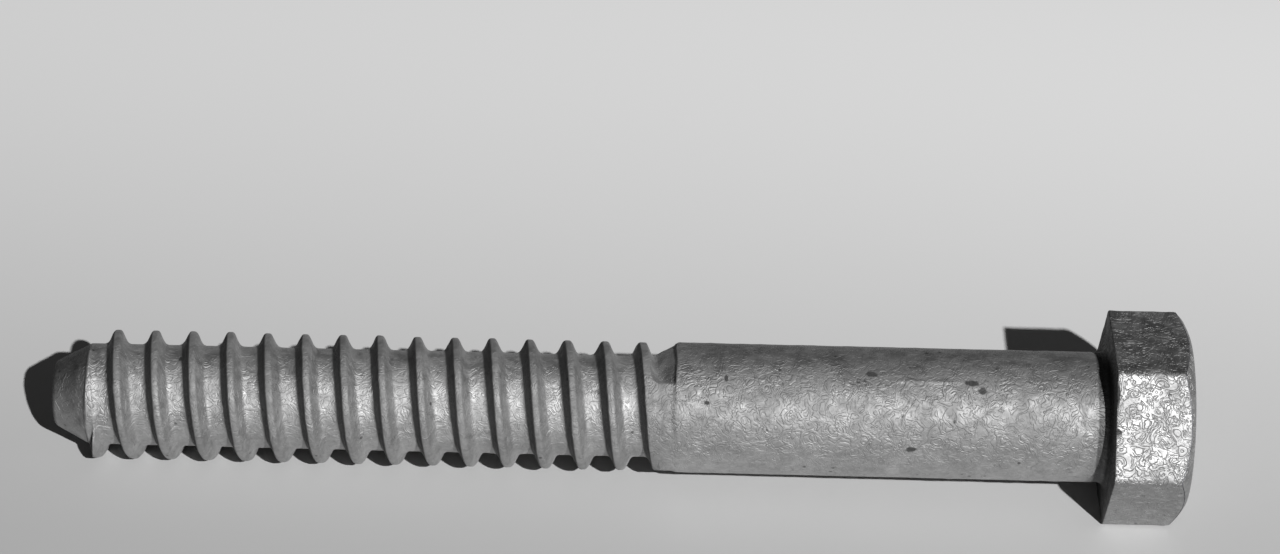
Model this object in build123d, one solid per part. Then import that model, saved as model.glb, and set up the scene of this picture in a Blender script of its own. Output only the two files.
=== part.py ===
"""Hex-head lag screw (coach screw) with a hot-dip zinc coating.

The screw lies along X: its axis is the X axis, the head is at +X and the point at -X, and
two flats of the hexagon face up and down.  The origin is the centre of the bearing face
under the head.  The forged steel screw and the zinc that wraps it are separate solids, so
that the steel alone is the plain-finish screw.

Sizes are in millimetres and are measured over the zinc.  Angles are in degrees: a half
angle is measured from the screw's axis, and a clock angle goes round the axis from +Y
towards +Z.  A function's `skin` is 0 for the outside of the zinc, and minus the coating's
thickness for the steel under it.
"""

import math
import os

from build123d import *

os.makedirs("parts", exist_ok=True)

# Coating
COAT = 0.10

# Head
HEAD_ACROSS_FLATS = 28.4
HEAD_HEIGHT = 11.9
HEAD_CORNER_RADIUS = 1.3
HEAD_CROWN_DIAMETER = 26.4
HEAD_CROWN_RISE = 0.5
HEAD_CHAMFER_ANGLE = 30.0

# Shank
UNDER_HEAD_LENGTH = 158.0
SHANK_DIAMETER = 19.6
SHANK_LENGTH = 64.3
UNDER_HEAD_FILLET = 1.2

# Thread: a right-hand groove cut into the blank.  Its floor rises to the shank on a cone
# that stops short of the shank's radius by RUNOUT_STEP.
THREADS_PER_INCH = 4.5
THREAD_MAJOR_DIAMETER = 19.2
THREAD_ROOT_DIAMETER = 15.2
CREST_WIDTH = 1.15
FLANK_ANGLE = 25.0
GROOVE_END_SETBACK = 1.7
GROOVE_END_CLOCK_ANGLE = 122.0
RUNOUT_HALF_ANGLE = 28.5
RUNOUT_STEP = 0.4

# Point: a cone up to a low step.  The thread's crest starts at a plane behind it that leans
# towards the head at THREAD_START_CLOCK_ANGLE.
NOSE_DIAMETER = 10.2
NOSE_CHAMFER = 0.4
POINT_HALF_ANGLE = 27.5
POINT_LENGTH = 5.4
CORE_DIAMETER = 15.8
THREAD_START_SETBACK = 0.7
THREAD_START_TILT = 9.0
THREAD_START_CLOCK_ANGLE = 120.0

# The groove's cutter stands this far proud of the crest, and the run-out cone starts this
# far under the groove's floor
CUTTER_CLEARANCE = 1.0
RUNOUT_SINK = 0.4

PITCH = 25.4 / THREADS_PER_INCH


def tangent(angle):
    return math.tan(math.radians(angle))


def miter(skin, angle):
    """Shift of a corner along one of its faces, where the next face turns by this angle."""
    return skin * tangent(angle / 2)


def lines(points):
    """Straight edges through (x, radius) points."""
    corners = [Vector(x, radius) for x, radius in points]
    return list(Wire.make_polygon(corners, close=False).edges())


def revolved(edges):
    """Solid of revolution about X of a closed outline that starts and ends on the axis."""
    return Solid.revolve(Face(Wire(edges)), 360, Axis.X)


def core(skin):
    """Nose, point cone and the core that stands a little above the groove's floor."""
    nose = NOSE_DIAMETER / 2
    nose_x = -UNDER_HEAD_LENGTH - skin
    cone_start_x = -UNDER_HEAD_LENGTH + NOSE_CHAMFER
    step_x = -UNDER_HEAD_LENGTH + POINT_LENGTH
    step = nose + (step_x - cone_start_x) * tangent(POINT_HALF_ANGLE)
    bevel = miter(skin, 45)
    outline = [
        (nose_x, 0),
        (nose_x, nose - NOSE_CHAMFER + bevel),
        (cone_start_x - bevel, nose + skin * (1 - tangent(POINT_HALF_ANGLE)) / 2 + bevel),
        (step_x - skin, step + miter(skin, 90 - POINT_HALF_ANGLE)),
        (step_x - skin, CORE_DIAMETER / 2 + skin),
        (-SHANK_LENGTH, CORE_DIAMETER / 2 + skin),
        (-SHANK_LENGTH, 0),
    ]
    return revolved(lines(outline + outline[:1]))


def thread_blank(skin):
    """The core and the cylinder that the thread is cut in, run on into the shank."""
    nose_end = Plane((-UNDER_HEAD_LENGTH, 0, 0), z_dir=(1, 0, 0))
    length = UNDER_HEAD_LENGTH - SHANK_LENGTH + PITCH
    cylinder = Solid.make_cylinder(THREAD_MAJOR_DIAMETER / 2 + skin, length, nose_end)
    start_x = -UNDER_HEAD_LENGTH + POINT_LENGTH + THREAD_START_SETBACK
    lean = Vector(1, 0, 0).rotate(Axis.Z, -THREAD_START_TILT)
    lean = lean.rotate(Axis.X, THREAD_START_CLOCK_ANGLE)
    start = Plane(Vector(start_x, 0, 0) - lean * skin, z_dir=lean)
    return core(skin) + cylinder.split(start, keep=Keep.TOP)


def shank(skin):
    """Run-out cone and plain shank with its fillet, run on into the middle of the head."""
    radius = SHANK_DIAMETER / 2 + skin
    start_x = -SHANK_LENGTH - skin
    step = SHANK_DIAMETER / 2 - RUNOUT_STEP + miter(skin, 90 - RUNOUT_HALF_ANGLE)
    sunk = THREAD_ROOT_DIAMETER / 2 + skin - RUNOUT_SINK
    sunk_x = start_x - (step - sunk) / tangent(RUNOUT_HALF_ANGLE)
    fillet_centre = Vector(-UNDER_HEAD_FILLET, SHANK_DIAMETER / 2 + UNDER_HEAD_FILLET)
    reach = UNDER_HEAD_FILLET - skin
    fillet_start = fillet_centre + Vector(0, -reach)
    fillet_middle = fillet_centre + Vector(0, -reach).rotate(Axis.Z, 45)
    fillet_end = fillet_centre + Vector(reach, 0)
    inside_head = HEAD_HEIGHT / 2
    outside = lines(
        [
            (sunk_x, 0),
            (sunk_x, sunk),
            (start_x, step),
            (start_x, radius),
            (fillet_start.X, fillet_start.Y),
        ]
    )
    arc = Edge.make_three_point_arc(fillet_start, fillet_middle, fillet_end)
    inside = [(fillet_end.X, fillet_end.Y), (inside_head, fillet_end.Y), (inside_head, 0)]
    return revolved(outside + [arc] + lines(inside + [(sunk_x, 0)]))


def groove(skin):
    """Right-hand thread groove, from beyond the nose to its blunt end beside the shank.

    It is swept along one edge for each turn, because faces of many turns cut unreliably.
    """
    root = THREAD_ROOT_DIAMETER / 2 + skin
    outside = THREAD_MAJOR_DIAMETER / 2 + CUTTER_CLEARANCE
    depth = (THREAD_MAJOR_DIAMETER - THREAD_ROOT_DIAMETER) / 2
    floor = (PITCH - CREST_WIDTH) / 2 - depth * tangent(FLANK_ANGLE)
    floor -= miter(skin, 90 - FLANK_ANGLE)
    mouth = floor + (outside - root) * tangent(FLANK_ANGLE)
    end_lap = -skin / (2 * math.pi * root)
    end_x = -SHANK_LENGTH - GROOVE_END_SETBACK + end_lap * PITCH
    start_x = -UNDER_HEAD_LENGTH - PITCH
    helix = Edge.make_helix(PITCH, end_x - start_x, root, (start_x, 0, 0), (1, 0, 0))
    turns = math.ceil((end_x - start_x) / PITCH)
    path = Wire([helix.trim(turn / turns, (turn + 1) / turns) for turn in range(turns)])
    start = helix @ 0
    out = Vector(0, start.Y, start.Z).normalized()
    corners = [(-floor, root), (-mouth, outside), (mouth, outside), (floor, root)]
    section = [Vector(start_x + along, 0) + out * radius for along, radius in corners]
    cutter = Solid.sweep(Face(Wire.make_polygon(section, close=True)), path, is_frenet=True)
    end = helix @ 1
    end_angle = GROOVE_END_CLOCK_ANGLE + 360 * end_lap
    return cutter.rotate(Axis.X, end_angle - math.degrees(math.atan2(end.Z, end.Y)))


def crown_envelope(skin):
    """Turned shape that trims the hexagon's outer end to a chamfer and a low dome."""
    crown = HEAD_CROWN_DIAMETER / 2 + skin * tangent(HEAD_CHAMFER_ANGLE)
    edge_x = HEAD_HEIGHT + skin
    top_x = edge_x + HEAD_CROWN_RISE
    wide = HEAD_ACROSS_FLATS
    wide_x = edge_x - (wide - crown) * tangent(HEAD_CHAMFER_ANGLE)
    sphere = (HEAD_CROWN_RISE**2 + crown**2) / (2 * HEAD_CROWN_RISE)
    half_way = math.asin(crown / sphere) / 2
    dome_middle = Vector(top_x - sphere * (1 - math.cos(half_way)), sphere * math.sin(half_way))
    dome = Edge.make_three_point_arc(Vector(edge_x, crown), dome_middle, Vector(top_x, 0))
    under = -UNDER_HEAD_FILLET
    sides = [(top_x, 0), (under, 0), (under, wide), (wide_x, wide), (edge_x, crown)]
    return revolved(lines(sides) + [dome])


def head(skin):
    """Hexagon with rounded corners, chamfered and domed on its outer end."""
    hexagon = RegularPolygon(HEAD_ACROSS_FLATS / 2 + skin, 6, major_radius=False)
    outline = fillet(hexagon.vertices(), HEAD_CORNER_RADIUS + skin)
    height = HEAD_HEIGHT + HEAD_CROWN_RISE + 2 * skin
    return extrude(Plane.YZ.offset(-skin) * outline, height) & crown_envelope(skin)


def screw(skin):
    return (thread_blank(skin) - groove(skin)) + shank(skin) + head(skin)


steel_screw = screw(-COAT)
zinc_coating = screw(0) - steel_screw

export_step(steel_screw, "parts/steel_screw.step")
export_step(zinc_coating, "parts/zinc_coating.step")
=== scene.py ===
"""Looks of a hot-dip galvanised hex-head lag screw, built around its CAD frame.

The screw lies along X with its head at +X.  Lengths inside this file are in millimetres,
and are turned into metres when a mesh, a lamp or the camera is made.  A clock angle goes
round the screw's axis from +Y towards +Z.
"""

import math
from types import SimpleNamespace

import bpy
import numpy as np
from mathutils import Matrix, Vector, noise


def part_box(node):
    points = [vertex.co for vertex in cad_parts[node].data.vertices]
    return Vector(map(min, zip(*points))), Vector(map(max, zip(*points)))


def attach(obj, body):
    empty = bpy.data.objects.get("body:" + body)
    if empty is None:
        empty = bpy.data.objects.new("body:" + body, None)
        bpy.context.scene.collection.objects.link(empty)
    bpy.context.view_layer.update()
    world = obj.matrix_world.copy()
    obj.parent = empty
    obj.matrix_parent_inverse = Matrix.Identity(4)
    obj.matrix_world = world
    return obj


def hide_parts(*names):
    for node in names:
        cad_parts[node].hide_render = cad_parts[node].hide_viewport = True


bl_info = {
    "name": "Galvanised Lag Screw",
    "version": (1, 0, 0),
    "blender": (4, 5, 0),
    "location": "View3D > Sidebar > Lag Screw",
    "description": "Builds the zinc skin of a hex-head lag screw and its studio stage",
    "category": "Object",
}

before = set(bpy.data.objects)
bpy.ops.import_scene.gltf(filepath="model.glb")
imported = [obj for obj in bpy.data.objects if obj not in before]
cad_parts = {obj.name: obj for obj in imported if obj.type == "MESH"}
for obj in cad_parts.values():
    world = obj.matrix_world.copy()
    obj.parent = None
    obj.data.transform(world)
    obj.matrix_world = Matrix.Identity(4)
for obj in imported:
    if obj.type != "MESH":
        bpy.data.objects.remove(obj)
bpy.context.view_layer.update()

MM = 0.001
LOW, HIGH = (np.array(corner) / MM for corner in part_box("zinc_coating"))
COLUMNS = 160
EVEN_CLOCK = np.linspace(0, 2 * math.pi, COLUMNS, endpoint=False)
# Columns stand closer together at the hexagon's corners
CLOCK = EVEN_CLOCK - 0.09 * np.sin(6 * EVEN_CLOCK)
# The rows that follow the thread run this far onto the shank
ONTO_SHANK = 2.2

# Where the zinc has a lump, a pit or a ridge: x, clock angle, half length along the screw,
# half width round it, height
MARKS = (
    (-35.6, 109.0, 0.5, 0.45, -0.07),
    (-20.8, 115.8, 0.45, 0.3, -0.07),
    (-19.2, 123.2, 0.3, 0.3, -0.06),
    (-26.4, 134.2, 0.9, 0.8, 0.16),
    (-34.4, 169.3, 0.7, 0.5, 0.1),
    (-29.6, 176.5, 0.5, 0.5, 0.1),
    (-21.8, 173.1, 0.6, 0.5, 0.09),
    (-22.7, 182.9, 0.5, 0.5, 0.09),
    (-66.9, 215.0, 0.7, 0.6, 0.35),
    (-50.5, 128.0, 0.5, 0.6, 0.12),
    (-56.2, 141.0, 0.4, 0.5, 0.1),
    (-12.5, 127.0, 0.6, 0.5, 0.1),
    (-43.4, 152.3, 0.5, 0.6, 0.1),
    (-58.0, 114.0, 0.6, 0.5, 0.12),
    (-57.2, 116.5, 0.5, 0.4, -0.08),
    (-58.9, 121.9, 0.5, 0.6, 0.12),
    (-60.0, 137.3, 0.6, 0.6, 0.1),
    (-56.0, 136.7, 0.5, 0.5, -0.08),
    (-47.9, 133.8, 0.6, 0.5, 0.1),
    (1.5, 73.5, 0.35, 0.35, 0.12),
    (2.8, 78.2, 0.4, 0.4, 0.12),
    (2.9, 91.6, 0.4, 0.35, 0.1),
    (6.9, 73.6, 0.4, 0.35, 0.1),
    (0.5, 152.4, 0.55, 0.55, -0.08),
    (1.3, 131.0, 0.35, 0.4, -0.08),
)

# Dark dross in the zinc, and a painted shadow in the corner where the groove ends: x, clock angle,
# half length along the screw, half width round it
DROSS_AND_SHADOW = (
    (-35.6, 109.0, 1.0, 0.55),
    (-20.8, 115.8, 1.15, 0.52),
    (-19.2, 123.2, 0.7, 0.6),
    (-57.2, 116.5, 0.3, 0.6),
    (-60.0, 139.5, 0.45, 0.3),
    # Painted shadow in the corner where the groove ends
    (-65.6, 113.5, 1.1, 0.45),
    (-66.1, 103.0, 0.3, 1.2),
    (-29.6, 177.5, 0.9, 0.5),
    (-136.3, 152.4, 0.7, 1.0),
    (-138.7, 99.0, 0.5, 0.5),
    (0.4, 152.4, 0.5, 0.5),
    (0.2, 131.0, 0.3, 1.9),
)

# Fine drawn ridges: start x and clock angle, end x and clock angle, half width, height
RIDGES = (
    (-31.9, 115.6, -22.0, 115.0, 0.25, 0.09),
    (-9.4, 149.2, -2.7, 148.3, 0.2, 0.07),
)


def length_property(name, description, default):
    """A property in millimetres."""
    return bpy.props.FloatProperty(
        name=name, description=description, default=default, subtype="DISTANCE_CAMERA"
    )


def angle_property(name, description, degrees):
    return bpy.props.FloatProperty(
        name=name, description=description, default=math.radians(degrees), subtype="ANGLE"
    )


def share_property(name, description, default):
    return bpy.props.FloatProperty(
        name=name, description=description, default=default, min=0, max=1, subtype="FACTOR"
    )


def grey_property(name, description, grey):
    return bpy.props.FloatVectorProperty(
        name=name, description=description, default=(grey,) * 3, subtype="COLOR"
    )


def place_property(name, default):
    return bpy.props.FloatVectorProperty(
        name=name, description="Millimetres from the bearing face", default=default, subtype="XYZ"
    )


class ScrewSizes(bpy.types.PropertyGroup):
    """Sizes of the zinc skin."""

    shank_radius: length_property("Shank radius", "Plain shank, over the zinc", 9.8)
    shank_length: length_property("Shank length", "Bearing face to the thread", 64.3)
    fillet: length_property("Under-head fillet", "Fillet between shank and head", 1.2)
    pitch: length_property("Thread pitch", "Advance for each turn", 25.4 / 4.5)
    major_radius: length_property("Thread major radius", "Radius over the crests", 9.6)
    root_radius: length_property("Thread root radius", "Radius at the bottom of the groove", 7.6)
    crest_width: length_property("Crest width", "Flat on top of the thread", 1.15)
    flank_angle: angle_property("Flank angle", "Half of the groove's included angle", 25)
    groove_setback: length_property(
        "Groove setback", "From the shank's end back to the groove's centre where it ends", 1.7
    )
    groove_end: angle_property("Groove end", "Clock angle at which the groove ends", 122)
    runout_angle: angle_property("Run-out angle", "Half angle of the thread's run-out", 28.5)
    runout_step: length_property("Run-out step", "From the run-out up to the shank", 0.4)
    nose_radius: length_property("Nose radius", "Flat nose at the point", 5.1)
    nose_chamfer: length_property("Nose chamfer", "Between the nose and the point's cone", 0.4)
    point_angle: angle_property("Point angle", "Half angle of the point's cone", 27.5)
    point_length: length_property("Point length", "Nose to the step at the cone's end", 5.4)
    core_radius: length_property("Core radius", "Core ahead of the thread's start", 7.9)
    start_setback: length_property(
        "Thread start", "From the step to the plane where the crest starts", 0.7
    )
    start_tilt: angle_property("Thread start tilt", "Lean of the plane where the crest starts", 9)
    start_clock: angle_property("Thread start clock", "Clock angle that the plane leans to", 120)
    head_corner_radius: length_property("Head corner radius", "Rounding of the hexagon's corners", 1.3)
    crown_radius: length_property("Crown radius", "Circle inside the head's chamfer", 13.2)
    crown_rise: length_property("Crown rise", "Height of the head's low dome", 0.5)
    chamfer_angle: angle_property("Head chamfer angle", "Slope of the head's chamfer", 30)


class ZincLook(bpy.types.PropertyGroup):
    """Relief and finish of the zinc."""

    ripple: length_property("Ripple", "Height of the broad ripples", 0.05)
    lump: length_property("Lumps", "Height of the small lumps", 0.035)
    bright: grey_property("Bright zinc", "Colour of the clean zinc", 0.48)
    dull: grey_property("Dull zinc", "Colour of the weathered zinc", 0.36)
    # Darkest colour, which the dross and all painted shade blend towards
    dross: grey_property("Dross", "Colour of the dark specks", 0.02)
    roughness: share_property("Roughness", "Mean roughness of the zinc", 0.68)


class StageSizes(bpy.types.PropertyGroup):
    """Camera, lamp and floor of the studio stage."""

    camera_place: place_property("Camera place", (-64.95, -437.8, 321.1))
    azimuth: angle_property("Camera azimuth", "Turn from +Y", 0.7)
    elevation: angle_property("Camera elevation", "Angle that it looks down", 34.2)
    roll: angle_property("Camera roll", "Turn of the camera about its view", 0.95)
    lens: length_property("Lens", "Focal length", 101.25)
    lamp_place: place_property("Lamp place", (324, -964, 790))
    lamp_size: length_property("Lamp size", "Diameter of the key lamp", 22)
    lamp_watts: bpy.props.FloatProperty(
        name="Lamp power", description="Power of the key lamp", default=28, unit="POWER"
    )
    fill: share_property("Fill", "Brightness of the surroundings", 0.045)
    # Painted shade: the floor is darker before the screw than behind it
    floor_far: share_property("Floor far", "Reflectance of the floor behind the screw", 0.79)
    floor_near: share_property("Floor near", "Reflectance of the floor before the screw", 0.335)


def sizes():
    return bpy.context.scene.screw_sizes


def soft_min(values, limit, blend):
    """The lesser of values and limit, rounded where they come within blend."""
    near = np.clip((blend - np.abs(values - limit)) / blend, 0, 1)
    return np.minimum(values, limit) - near**2 * blend / 4


def soft_max(values, limit, blend):
    return -soft_min(-values, -limit, blend)


def soft_step(values):
    t = np.clip(values, 0, 1)
    return t * t * (3 - 2 * t)


def rough(points, size, seed):
    """Smooth noise from -1 to 1 at points, with features of about this size."""
    shift = Vector((seed * 13.7, seed * -7.1, seed * 3.9))
    return np.array([noise.noise(Vector(point) / size + shift) for point in points])


def wave(clock):
    """A wavering line round the screw, from -1 to 1."""
    start = 3.4
    waves = ((2, 0.4), (5, 0.35), (9, 0.25))
    return sum(weight * np.sin(count * (clock + start)) for count, weight in waves)


def thread_radius(x, clock):
    """Radius of the thread with no start, up to where its groove ends."""
    s = sizes()
    flank = math.tan(s.flank_angle)
    wall = (s.major_radius - s.root_radius) * flank
    floor_half = (s.pitch - s.crest_width) / 2 - wall
    end_x = -s.shank_length - s.groove_setback
    turn = (clock - s.groove_end) / (2 * math.pi)
    along = (end_x - x) / s.pitch + turn
    nearest = np.round(along)
    off_centre = np.abs(along - nearest) * s.pitch
    left = (nearest - turn) * 2 * math.pi * s.root_radius
    end_corner = 1.6
    root_corner = 1.0
    up_flank = soft_max(off_centre - floor_half, wall - left, end_corner)
    groove = soft_max(s.root_radius + up_flank / flank, s.root_radius, root_corner)
    # A rounded crest stands a little proud, so that its corners still cover the steel
    proud = 0.1 * soft_step((-s.shank_length - 4 - x) / 3)
    crest_corner = 0.3 + 3 * proud
    return soft_min(groove, s.major_radius + proud, crest_corner)


def step_up(low, high, x, width):
    """From low, before x is 0, to high, once x is the width."""
    return low + (high - low) * soft_step(x / width)


def body_radius(x, clock):
    """Radius of point, thread, run-out and the start of the shank."""
    s = sizes()
    step_x = LOW[0] + s.point_length
    cone = s.nose_radius + (x - LOW[0] - s.nose_chamfer) * math.tan(s.point_angle)
    core = step_up(cone, s.core_radius, x - step_x + 0.1, 0.2)
    lean = math.tan(s.start_tilt) * s.major_radius * np.cos(clock - s.start_clock)
    behind_start = x - step_x - s.start_setback - lean
    blank = step_up(core, s.shank_radius + 0.2, behind_start + 0.25, 0.35)
    threaded = soft_min(blank, thread_radius(x, clock), 0.15)
    runout_end = s.shank_radius - s.runout_step
    runout = runout_end + (x + s.shank_length + 0.5) * math.tan(s.runout_angle)
    threaded = soft_max(threaded, np.minimum(runout, runout_end), 0.2)
    wavy_edge = -s.shank_length - 0.35 + 0.3 * wave(clock)
    return step_up(threaded, s.shank_radius, x - wavy_edge + 0.175, 0.35)


def phases():
    """Offsets from a crest's centre for the rows of one pitch, closest at the corners."""
    s = sizes()
    crest = s.crest_width / 2
    foot = crest + (s.major_radius - s.root_radius) * math.tan(s.flank_angle)
    half = [0, 0.45 * crest, 0.8 * crest, crest, crest + 0.1, crest + 0.25]
    half += [(crest + foot) / 2, foot - 0.25, foot - 0.1, foot, foot + 0.15, foot + 0.5]
    half += [(foot + 0.5 + s.pitch / 2) / 2]
    return np.array([-value for value in half[:0:-1]] + half + [s.pitch / 2])


class SkinMesh:
    """Collects rings of vertices round the X axis and the faces between them."""

    def __init__(self):
        self.points = []
        self.faces = []
        self.last = None

    def add_points(self, x, radius, clock):
        start = len(self.points)
        rows = np.stack([x, radius * np.cos(clock), radius * np.sin(clock)], axis=-1)
        self.points.extend(rows.reshape(-1, 3).tolist())
        return np.arange(start, len(self.points))

    def ring(self, x, radius):
        """Adds a ring and joins it to the one before."""
        x, radius = (np.broadcast_to(np.asarray(v, float), CLOCK.shape) for v in (x, radius))
        ring = self.add_points(x, radius, CLOCK)
        if self.last is not None:
            for j in range(COLUMNS):
                k = (j + 1) % COLUMNS
                self.faces.append((self.last[j], self.last[k], ring[k], ring[j]))
        self.last = ring

    def tip(self, x, ring, facing_nose):
        centre = self.add_points(np.array([x]), np.zeros(1), np.zeros(1))[0]
        for j in range(COLUMNS):
            k = (j + 1) % COLUMNS
            pair = (ring[k], ring[j]) if facing_nose else (ring[j], ring[k])
            self.faces.append(pair + (centre,))

    def helix_band(self, last_x):
        """Rows that follow the thread from the last ring to a new ring at last_x."""
        s = sizes()
        low_ring = self.last
        first_x = self.points[low_ring[0]][0]
        high_ring = self.add_points(
            np.full(COLUMNS, last_x), body_radius(np.full(COLUMNS, last_x), CLOCK), CLOCK
        )
        offsets = phases()
        samples = len(offsets)
        turns = math.ceil((last_x - first_x) / s.pitch) + 2
        crest_x = -s.shank_length - s.groove_setback - s.pitch / 2
        crest_x -= s.groove_end / (2 * math.pi) * s.pitch
        lowest = math.floor((first_x - crest_x) / s.pitch) - 1
        row_x = (crest_x + s.pitch * (lowest + np.arange(turns + 1))[:, None] + offsets).ravel()
        rows = len(row_x)
        x = row_x[:, None] + s.pitch * CLOCK[None, :] / (2 * math.pi)
        clock = np.broadcast_to(CLOCK, x.shape)
        # A point nearer than this to either ring is that ring's own point
        least = 0.06
        inside = (x > first_x + least) & (x < last_x - least)
        ids = np.where(x <= first_x + least, low_ring[None, :], high_ring[None, :])
        radius = body_radius(x[inside], clock[inside])
        ids[inside] = self.add_points(x[inside], radius, clock[inside])
        # Once round, each row meets the row that is one pitch further on
        wrapped = np.concatenate([ids, np.full((rows, 1), high_ring[0])], axis=1)
        wrapped[: rows - samples, COLUMNS] = ids[samples:, 0]
        for k in range(rows - 1):
            for j in range(COLUMNS):
                loop = (wrapped[k, j], wrapped[k, j + 1], wrapped[k + 1, j + 1], wrapped[k + 1, j])
                face = [c for i, c in enumerate(loop) if c != loop[i - 1]]
                if len(set(face)) == len(face) and len(face) > 2:
                    self.faces.append(tuple(face))
        self.last = high_ring


def hexagon_radius():
    """Radius of the hexagon with rounded corners at each column."""
    s = sizes()
    apothem = HIGH[2]
    r = s.head_corner_radius
    inner = (apothem - r) / math.cos(math.radians(30))
    from_corner = np.abs((CLOCK + math.pi / 6) % (math.pi / 3) - math.pi / 6)
    flat = apothem / np.cos(math.pi / 6 - from_corner)
    arc_limit = math.atan2(r * math.sin(math.radians(30)), inner + r * math.cos(math.radians(30)))
    round_part = inner * np.cos(from_corner) + np.sqrt(
        np.maximum(r**2 - (inner * np.sin(from_corner)) ** 2, 0)
    )
    return np.where(from_corner < arc_limit, round_part, flat)


def add_nose(skin):
    """The flat nose, its rounded rim and the start of the cone."""
    s = sizes()
    for share in np.linspace(0.1, 0.88, 8):
        skin.ring(LOW[0], s.nose_radius * share)
    skin.tip(LOW[0], np.arange(COLUMNS), True)
    skin.ring(LOW[0] + 0.05, s.nose_radius - 0.32)
    skin.ring(LOW[0] + 0.18, s.nose_radius - 0.17)
    for x in (0.4, 0.65, 0.9, 1.2):
        skin.ring(LOW[0] + x, body_radius(np.full(COLUMNS, LOW[0] + x), CLOCK))


def add_shank(skin):
    """The plain shank and the fillet under the head."""
    s = sizes()
    for x in np.linspace(ONTO_SHANK - s.shank_length, -s.fillet, 72)[1:]:
        skin.ring(x, s.shank_radius)
    for angle in np.linspace(0, math.pi / 2, 6)[1:]:
        x = -s.fillet + s.fillet * math.sin(angle)
        skin.ring(x, s.shank_radius + s.fillet * (1 - math.cos(angle)))


def add_head(skin):
    """The bearing face, the hexagon, its chamfer and the crown."""
    s = sizes()
    hexagon = hexagon_radius()
    inner = s.shank_radius + s.fillet
    # Radius of the bearing face's rim, and reach of the rounding where the chamfer starts
    edge = 0.25
    soft = 0.5
    for share in np.linspace(0, 1, 6)[1:]:
        skin.ring(0, inner + (hexagon - edge - inner) * share)
    for angle in (30, 60, 90):
        a = math.radians(angle)
        skin.ring(edge * (1 - math.cos(a)), hexagon - edge * (1 - math.sin(a)))
    face_end = HIGH[0] - s.crown_rise
    chamfer_x = face_end - (hexagon - s.crown_radius) * math.tan(s.chamfer_angle)
    for share in np.linspace(0, 1, 20)[1:]:
        skin.ring(edge + (chamfer_x - soft - edge) * share, hexagon)
    slope = s.chamfer_angle
    for t in (0.25, 0.5, 0.75, 1.0):
        x = chamfer_x - soft * (1 - t) ** 2 + soft * math.sin(slope) * t**2
        skin.ring(x, hexagon - soft * math.cos(slope) * t**2)
    last_x = chamfer_x + soft * math.sin(slope)
    last_r = hexagon - soft * math.cos(slope)
    # The chamfer bulges, most at the hexagon's corners
    bulge = 0.1 * (hexagon - s.crown_radius) ** 2
    for share in np.linspace(0, 1, 9)[1:]:
        proud = bulge * share * (1 - share)
        x = last_x + (face_end - last_x) * share + proud * math.cos(slope)
        skin.ring(x, last_r + (s.crown_radius - last_r) * share + proud * math.sin(slope))
    for share in np.linspace(1, 0.05, 20)[1:]:
        x = face_end + s.crown_rise * (1 - share**2)
        skin.ring(x, s.crown_radius * share)
    skin.tip(HIGH[0], skin.last, False)


def marks_height(points):
    """Height of the listed marks and ridges at each point."""
    x = points[:, 0]
    radius = np.hypot(points[:, 1], points[:, 2])
    clock = np.degrees(np.arctan2(points[:, 2], points[:, 1])) % 360
    height = np.zeros(len(points))
    for mark_x, mark_clock, along, across, rise in MARKS:
        arc = np.radians(clock - mark_clock) * radius
        distance = np.hypot((x - mark_x) / along, arc / across)
        height += rise * np.exp(-(distance**2))
    for x0, clock0, x1, clock1, width, rise in RIDGES:
        share = np.clip((x - x0) / (x1 - x0), 0, 1)
        arc = np.radians(clock - clock0 - (clock1 - clock0) * share) * radius
        ends = np.maximum(np.maximum(x0 - x, x - x1), 0)
        height += rise * np.exp(-((arc / width) ** 2) - (ends / width) ** 2)
    return height


def relief(points):
    """How far the zinc stands off its nominal surface at each point."""
    look = bpy.context.scene.zinc_look
    x = points[:, 0]
    on_head = soft_step(x / 1.5)
    on_thread = soft_step(-(x + sizes().shank_length) / 3)
    ripple = look.ripple * (rough(points, 6.5, 1) + 0.6 * rough(points, 3.1, 2))
    ripple *= 0.4 + 0.6 * np.maximum(on_thread, on_head)
    small = rough(points, 1.7, 3)
    lumps = look.lump * (small + 1.6 * np.maximum(small - 0.25, 0)) * (1 + 0.5 * on_thread)
    fine = 0.5 * look.lump * rough(points, 0.8, 4)
    height = (ripple + lumps + fine) * (1 - 0.35 * on_head) + marks_height(points)
    # The head's flats sink a little, which leaves room for lumps inside the screw's box
    sunk = 0.02 + 0.05 * on_head
    # The skin may sink further on plain faces than at edges before it meets the steel
    plain = ((x > -60) & (x < -0.5)) | ((x > 0.9) & (x < 9))
    return np.maximum(height - sunk, -0.035 - 0.05 * plain)


class Value:
    """A number socket that Python's operators build Math nodes on."""

    def __init__(self, finish, socket):
        self.finish = finish
        self.socket = socket

    def math(self, operation, *values):
        node = self.finish.node("ShaderNodeMath", {"operation": operation})
        for socket, value in zip(node.inputs, values):
            self.finish.feed(socket, value)
        return Value(self.finish, node.outputs["Value"])

    def __add__(self, other):
        return self.math("ADD", self, other)

    def __sub__(self, other):
        return self.math("SUBTRACT", self, other)

    def __rsub__(self, other):
        return self.math("SUBTRACT", other, self)

    def __mul__(self, other):
        return self.math("MULTIPLY", self, other)

    def __abs__(self):
        return self.math("ABSOLUTE", self)

    def root(self):
        return self.math("SQRT", self)

    def between(self, low, high):
        """0 below low, 1 above high and smooth between, or the reverse if high is less."""
        ramp = self.finish.node(
            "ShaderNodeMapRange",
            {"interpolation_type": "SMOOTHSTEP"},
            Value=self,
            From_Min=low,
            From_Max=high,
        )
        return Value(self.finish, ramp.outputs["Result"])

    __radd__ = __add__
    __rmul__ = __mul__


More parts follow.
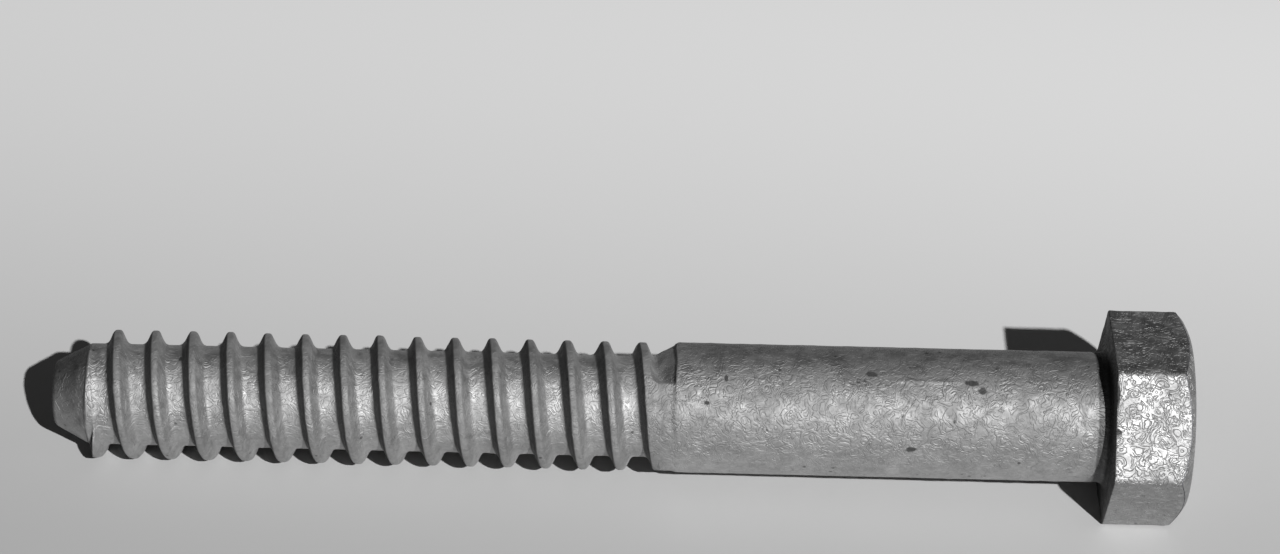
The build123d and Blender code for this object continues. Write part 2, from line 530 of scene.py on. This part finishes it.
class Finish:
    """One material's node tree."""

    def __init__(self, name):
        self.material = bpy.data.materials.new(name)
        self.material.use_nodes = True
        self.tree = self.material.node_tree
        self.shader = self.tree.nodes["Principled BSDF"]
        coordinates = self.node("ShaderNodeTexCoord").outputs
        self.place = coordinates["Object"]
        self.facing = coordinates["Normal"]

    def node(self, kind, settings=None, **inputs):
        node = self.tree.nodes.new(kind)
        for name, value in (settings or {}).items():
            setattr(node, name, value)
        for name, value in inputs.items():
            self.feed(node.inputs[name.replace("_", " ")], value)
        return node

    def feed(self, socket, value):
        if isinstance(value, Value):
            value = value.socket
        if isinstance(value, bpy.types.NodeSocket):
            self.tree.links.new(value, socket)
        else:
            socket.default_value = value

    def shade(self, **inputs):
        """Feeds sockets of the material's own shader."""
        for name, value in inputs.items():
            self.feed(self.shader.inputs[name.replace("_", " ")], value)

    def axes(self, vector):
        """The vector's x, y and z."""
        node = self.node("ShaderNodeSeparateXYZ", Vector=vector)
        return [Value(self, output) for output in node.outputs]

    def vector(self, operation, first, second):
        node = self.node("ShaderNodeVectorMath", {"operation": operation})
        self.feed(node.inputs[0], first)
        self.feed(node.inputs[1], second)
        return node.outputs["Vector"]

    def length(self, vector):
        node = self.node("ShaderNodeVectorMath", {"operation": "LENGTH"}, Vector=vector)
        return Value(self, node.outputs["Value"])

    def noise(self, size, detail=2.0, distortion=0.0):
        """Noise from 0 to 1 with features of size millimetres."""
        node = self.node(
            "ShaderNodeTexNoise",
            Vector=self.place,
            Scale=1 / (size * MM),
            Detail=detail,
            Distortion=distortion,
        )
        return Value(self, node.outputs[0])

    def cells(self, size):
        """Distance from the centres of cells of size millimetres, in cells."""
        node = self.node("ShaderNodeTexVoronoi", Vector=self.place, Scale=1 / (size * MM))
        return Value(self, node.outputs["Distance"])

    def mix(self, factor, first, second):
        node = self.node("ShaderNodeMix", {"data_type": "RGBA"})
        self.feed(node.inputs[0], factor)
        self.feed(node.inputs[6], first)
        self.feed(node.inputs[7], second)
        return node.outputs[2]

    def bump(self, height, distance):
        """Relief of height, which runs from 0 to 1, times distance in millimetres."""
        node = self.node("ShaderNodeBump", Height=height, Distance=distance * MM, Strength=1.0)
        self.shade(Normal=node.outputs["Normal"])


def opaque(colour):
    return tuple(colour) + (1.0,)


def dark_spot_reach(x, clock):
    """How far from the screw's axis a listed dark spot lies."""
    s = sizes()
    if x > 0:
        lit_flat = math.radians(150)
        return HIGH[2] / math.cos(clock - lit_flat)
    return s.shank_radius if x > -s.shank_length else s.root_radius + 0.1


def dross_and_shadow_spots(finish):
    """1 inside the listed dark spots and 0 outside."""
    ragged = finish.noise(0.5, 1.0) * 0.8
    total = None
    for x, degrees, along, across in DROSS_AND_SHADOW:
        clock = math.radians(degrees)
        reach = dark_spot_reach(x, clock)
        centre = Vector((x, reach * math.cos(clock), reach * math.sin(clock))) * MM
        shrink = Vector((1 / along, 1 / across, 1 / across)) / MM
        from_centre = finish.vector("SUBTRACT", finish.place, centre)
        distance = finish.length(finish.vector("MULTIPLY", from_centre, shrink))
        spot = (distance + ragged).between(1.6, 1.1)
        total = spot if total is None else total.math("MAXIMUM", total, spot)
    return total


def zinc_masks(finish):
    """1 on each region of the zinc and 0 off it, by place and by the way it faces."""
    s = sizes()
    x, y, z = finish.axes(finish.place)
    turned_x, _, turned_z = finish.axes(finish.facing)
    radius = (y * y + z * z).root()
    thread_x = -s.shank_length
    step_x = LOW[0] + s.point_length
    head = x.between(-0.4 * MM, 0.4 * MM)
    thread = x.between(thread_x * MM, (thread_x - 2) * MM)
    crest = radius.between((s.major_radius - 0.9) * MM, (s.major_radius - 0.3) * MM)
    return SimpleNamespace(
        head=head,
        head_top=turned_z.between(0.6, 0.9) * head,
        # Band round the shank next to the head, where the head's shadow is painted
        head_shadow_band=x.between(-2.2 * MM, -1.8 * MM) * (1 - head),
        shank=(1 - thread) * (1 - head),
        thread=thread,
        crest=crest * thread,
        point=x.between((step_x + 0.3) * MM, (step_x - 0.4) * MM),
        point_top=turned_z.between(0.2, 0.9),
        # Faces towards the point, which get painted shade
        shade_to_point=turned_x.between(-0.3, -0.75),
        to_sky=turned_z.between(-0.4, 0.5),
    )


def zinc_colour(finish, on, spots):
    """Mottled zinc with stains, specks and dross, and painted shade on upward faces, on faces towards
    the point and round the shank by the head.
    """
    look = bpy.context.scene.zinc_look
    clouds = finish.noise(9.0, 4.0, 0.6).between(0.36, 0.64)
    grain = finish.noise(1.1, 3.0, 1.2).between(0.35, 0.65)
    zinc = finish.mix(clouds * 0.5 + grain * 0.5, opaque(look.dull), opaque(look.bright))
    stains = finish.noise(2.2, 3.0, 1.8).between(0.62, 0.76)
    specks = finish.cells(2.3).between(0.15, 0.07) * finish.noise(5.0, 1.0).between(0.52, 0.6)
    # Painted shade: upward faces are darker on the thread, the shank and the head's top
    painted_top_shade = on.to_sky * (on.thread * 0.14 + on.shank * 0.38) + on.head_top * 0.3
    # The point is darker all over, and painted shade makes its upper side darker still
    point = on.point * (on.point_top * 0.5 + 0.12)
    clean = (1 - painted_top_shade) * (1 - point)
    for mask, darkening in (
        (on.crest, 0.2),
        (on.head, 0.18),
        # Painted shade on faces towards the point, such as the trailing flanks and the bearing face
        (on.shade_to_point, 0.78),
        # Painted shadow of the head on the shank
        (on.head_shadow_band, 0.6),
        (stains, 0.25),
        (specks, 0.6),
        (spots, 0.95),
    ):
        clean = clean * (1 - mask * darkening)
    # Stains, specks, dross and painted shade all blend towards the dross colour
    return finish.mix(1 - clean, zinc, opaque(look.dross))


def zinc_relief(finish, on):
    """Fine relief: worm-like furrows, deepest on the head, over a swirl and a frost."""
    swirl = finish.noise(2.0, 1.5, 2.6)
    furrows = abs(swirl - 0.5).between(0.0, 0.1)
    frost = finish.noise(0.6, 2.0, 0.6)
    return furrows * (on.head * 0.4 + 0.3) + swirl * 0.9 + frost * 0.3


def zinc_material():
    mean_roughness = bpy.context.scene.zinc_look.roughness
    finish = Finish("hot_dip_zinc")
    on = zinc_masks(finish)
    spots = dross_and_shadow_spots(finish)
    spread = 0.16
    wander = finish.noise(3.0, 3.0, 0.8).between(0.3, 0.7) * spread
    finish.shade(
        Base_Color=zinc_colour(finish, on, spots),
        Roughness=wander + (mean_roughness - spread / 2) + on.crest * 0.1 - on.head * 0.07,
        Metallic=1 - spots * 0.8,
    )
    finish.bump(zinc_relief(finish, on), 0.13)
    return finish.material


def steel_material():
    finish = Finish("forge_scale")
    scale = finish.noise(1.5, 4.0, 0.8)
    colour = finish.mix(scale.between(0.35, 0.65), (0.06, 0.06, 0.065, 1), (0.17, 0.17, 0.18, 1))
    finish.shade(Base_Color=colour, Roughness=scale * 0.3 + 0.5, Metallic=0.8)
    finish.bump(scale, 0.05)
    return finish.material


def paper_material():
    stage = bpy.context.scene.stage_sizes
    paper = Finish("floor_paper")
    # Painted shade: the floor darkens from behind the screw towards the front
    floor_falloff = paper.axes(paper.place)[1].between(-70 * MM, 160 * MM)
    near, far = (opaque((grey,) * 3) for grey in (stage.floor_near, stage.floor_far))
    paper.shade(Base_Color=paper.mix(floor_falloff, near, far), Roughness=0.9)
    return paper.material


def make_floor():
    """A floor that leans until the head and the thread both rest on it."""
    s = sizes()
    first_crest = -LOW[0] - s.point_length - 3
    bpy.ops.mesh.primitive_plane_add(size=4)
    floor = bpy.context.active_object
    floor.name = "floor"
    floor.location = Vector((0, 0, LOW[2] * MM))
    floor.rotation_euler = (0, math.atan2(HIGH[2] - s.major_radius, first_crest), 0)
    floor.data.materials.append(paper_material())


def make_camera():
    stage = bpy.context.scene.stage_sizes
    level = Vector((-math.sin(stage.azimuth), math.cos(stage.azimuth), 0))
    forward = level * math.cos(stage.elevation) - Vector((0, 0, math.sin(stage.elevation)))
    turn = forward.to_track_quat("-Z", "Y").to_matrix() @ Matrix.Rotation(stage.roll, 3, "Z")
    camera = bpy.data.objects.new("camera", bpy.data.cameras.new("camera"))
    bpy.context.scene.collection.objects.link(camera)
    camera.matrix_world = Matrix.Translation(Vector(stage.camera_place) * MM) @ turn.to_4x4()
    camera.data.lens = stage.lens
    bpy.context.scene.camera = camera


def make_lights():
    """A small key lamp aimed at the screw's middle, and a weak even fill."""
    scene = bpy.context.scene
    stage = scene.stage_sizes
    lamp = bpy.data.objects.new("key", bpy.data.lights.new("key", "AREA"))
    scene.collection.objects.link(lamp)
    lamp.location = Vector(stage.lamp_place) * MM
    from_middle = lamp.location - Vector((LOW[0] / 2 * MM, 0, 0))
    lamp.rotation_euler = from_middle.to_track_quat("Z", "Y").to_euler()
    lamp.data.shape = "DISK"
    lamp.data.size = stage.lamp_size * MM
    lamp.data.energy = stage.lamp_watts
    scene.world = bpy.data.worlds.new("world")
    scene.world.use_nodes = True
    background = scene.world.node_tree.nodes["Background"]
    background.inputs["Color"].default_value = opaque((stage.fill,) * 3)


class LAGSCREW_OT_zinc_skin(bpy.types.Operator):
    """Make the zinc skin of the whole screw"""

    bl_idname = "lagscrew.zinc_skin"
    bl_label = "Zinc Skin"

    def execute(self, context):
        skin = SkinMesh()
        add_nose(skin)
        skin.helix_band(ONTO_SHANK - sizes().shank_length)
        add_shank(skin)
        add_head(skin)
        mesh = bpy.data.meshes.new("zinc_skin")
        mesh.from_pydata(skin.points, [], skin.faces)
        mesh.validate()
        mesh.polygons.foreach_set("use_smooth", [True] * len(mesh.polygons))
        points = np.array(skin.points)
        normals = np.array([tuple(v.normal) for v in mesh.vertices])
        moved = points + normals * relief(points)[:, None]
        moved = np.clip(moved, LOW, HIGH) * MM
        mesh.vertices.foreach_set("co", moved.ravel())
        mesh.update()
        piece = bpy.data.objects.new("zinc_skin", mesh)
        context.scene.collection.objects.link(piece)
        piece.data.materials.append(zinc_material())
        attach(piece, "root")
        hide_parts("zinc_coating")
        return {"FINISHED"}


class LAGSCREW_OT_steel(bpy.types.Operator):
    """Give the steel under the zinc its forge scale"""

    bl_idname = "lagscrew.steel"
    bl_label = "Steel"

    def execute(self, context):
        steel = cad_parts["steel_screw"]
        steel.data.materials.clear()
        steel.data.materials.append(steel_material())
        return {"FINISHED"}


class LAGSCREW_OT_stage(bpy.types.Operator):
    """Make the floor, the lamps and the camera"""

    bl_idname = "lagscrew.stage"
    bl_label = "Stage"

    def execute(self, context):
        make_floor()
        make_camera()
        make_lights()
        context.scene.view_settings.view_transform = "Standard"
        return {"FINISHED"}


class LAGSCREW_PT_panel(bpy.types.Panel):
    """Sizes, looks and makers of the lag screw"""

    bl_label = "Lag Screw"
    bl_idname = "LAGSCREW_PT_panel"
    bl_space_type = "VIEW_3D"
    bl_region_type = "UI"
    bl_category = "Lag Screw"

    def draw(self, context):
        scene = context.scene
        for group in (scene.screw_sizes, scene.zinc_look, scene.stage_sizes):
            for name in group.__annotations__:
                self.layout.prop(group, name)
        for operator in OPERATORS:
            self.layout.operator(operator.bl_idname)


OPERATORS = (LAGSCREW_OT_zinc_skin, LAGSCREW_OT_steel, LAGSCREW_OT_stage)
CLASSES = (ScrewSizes, ZincLook, StageSizes) + OPERATORS + (LAGSCREW_PT_panel,)


def register():
    for cls in CLASSES:
        bpy.utils.register_class(cls)
    bpy.types.Scene.screw_sizes = bpy.props.PointerProperty(type=ScrewSizes)
    bpy.types.Scene.zinc_look = bpy.props.PointerProperty(type=ZincLook)
    bpy.types.Scene.stage_sizes = bpy.props.PointerProperty(type=StageSizes)


def unregister():
    del bpy.types.Scene.stage_sizes
    del bpy.types.Scene.zinc_look
    del bpy.types.Scene.screw_sizes
    for cls in reversed(CLASSES):
        bpy.utils.unregister_class(cls)


def main():
    register()
    bpy.ops.lagscrew.zinc_skin()
    bpy.ops.lagscrew.steel()
    bpy.ops.lagscrew.stage()


if __name__ == "__main__":
    main()
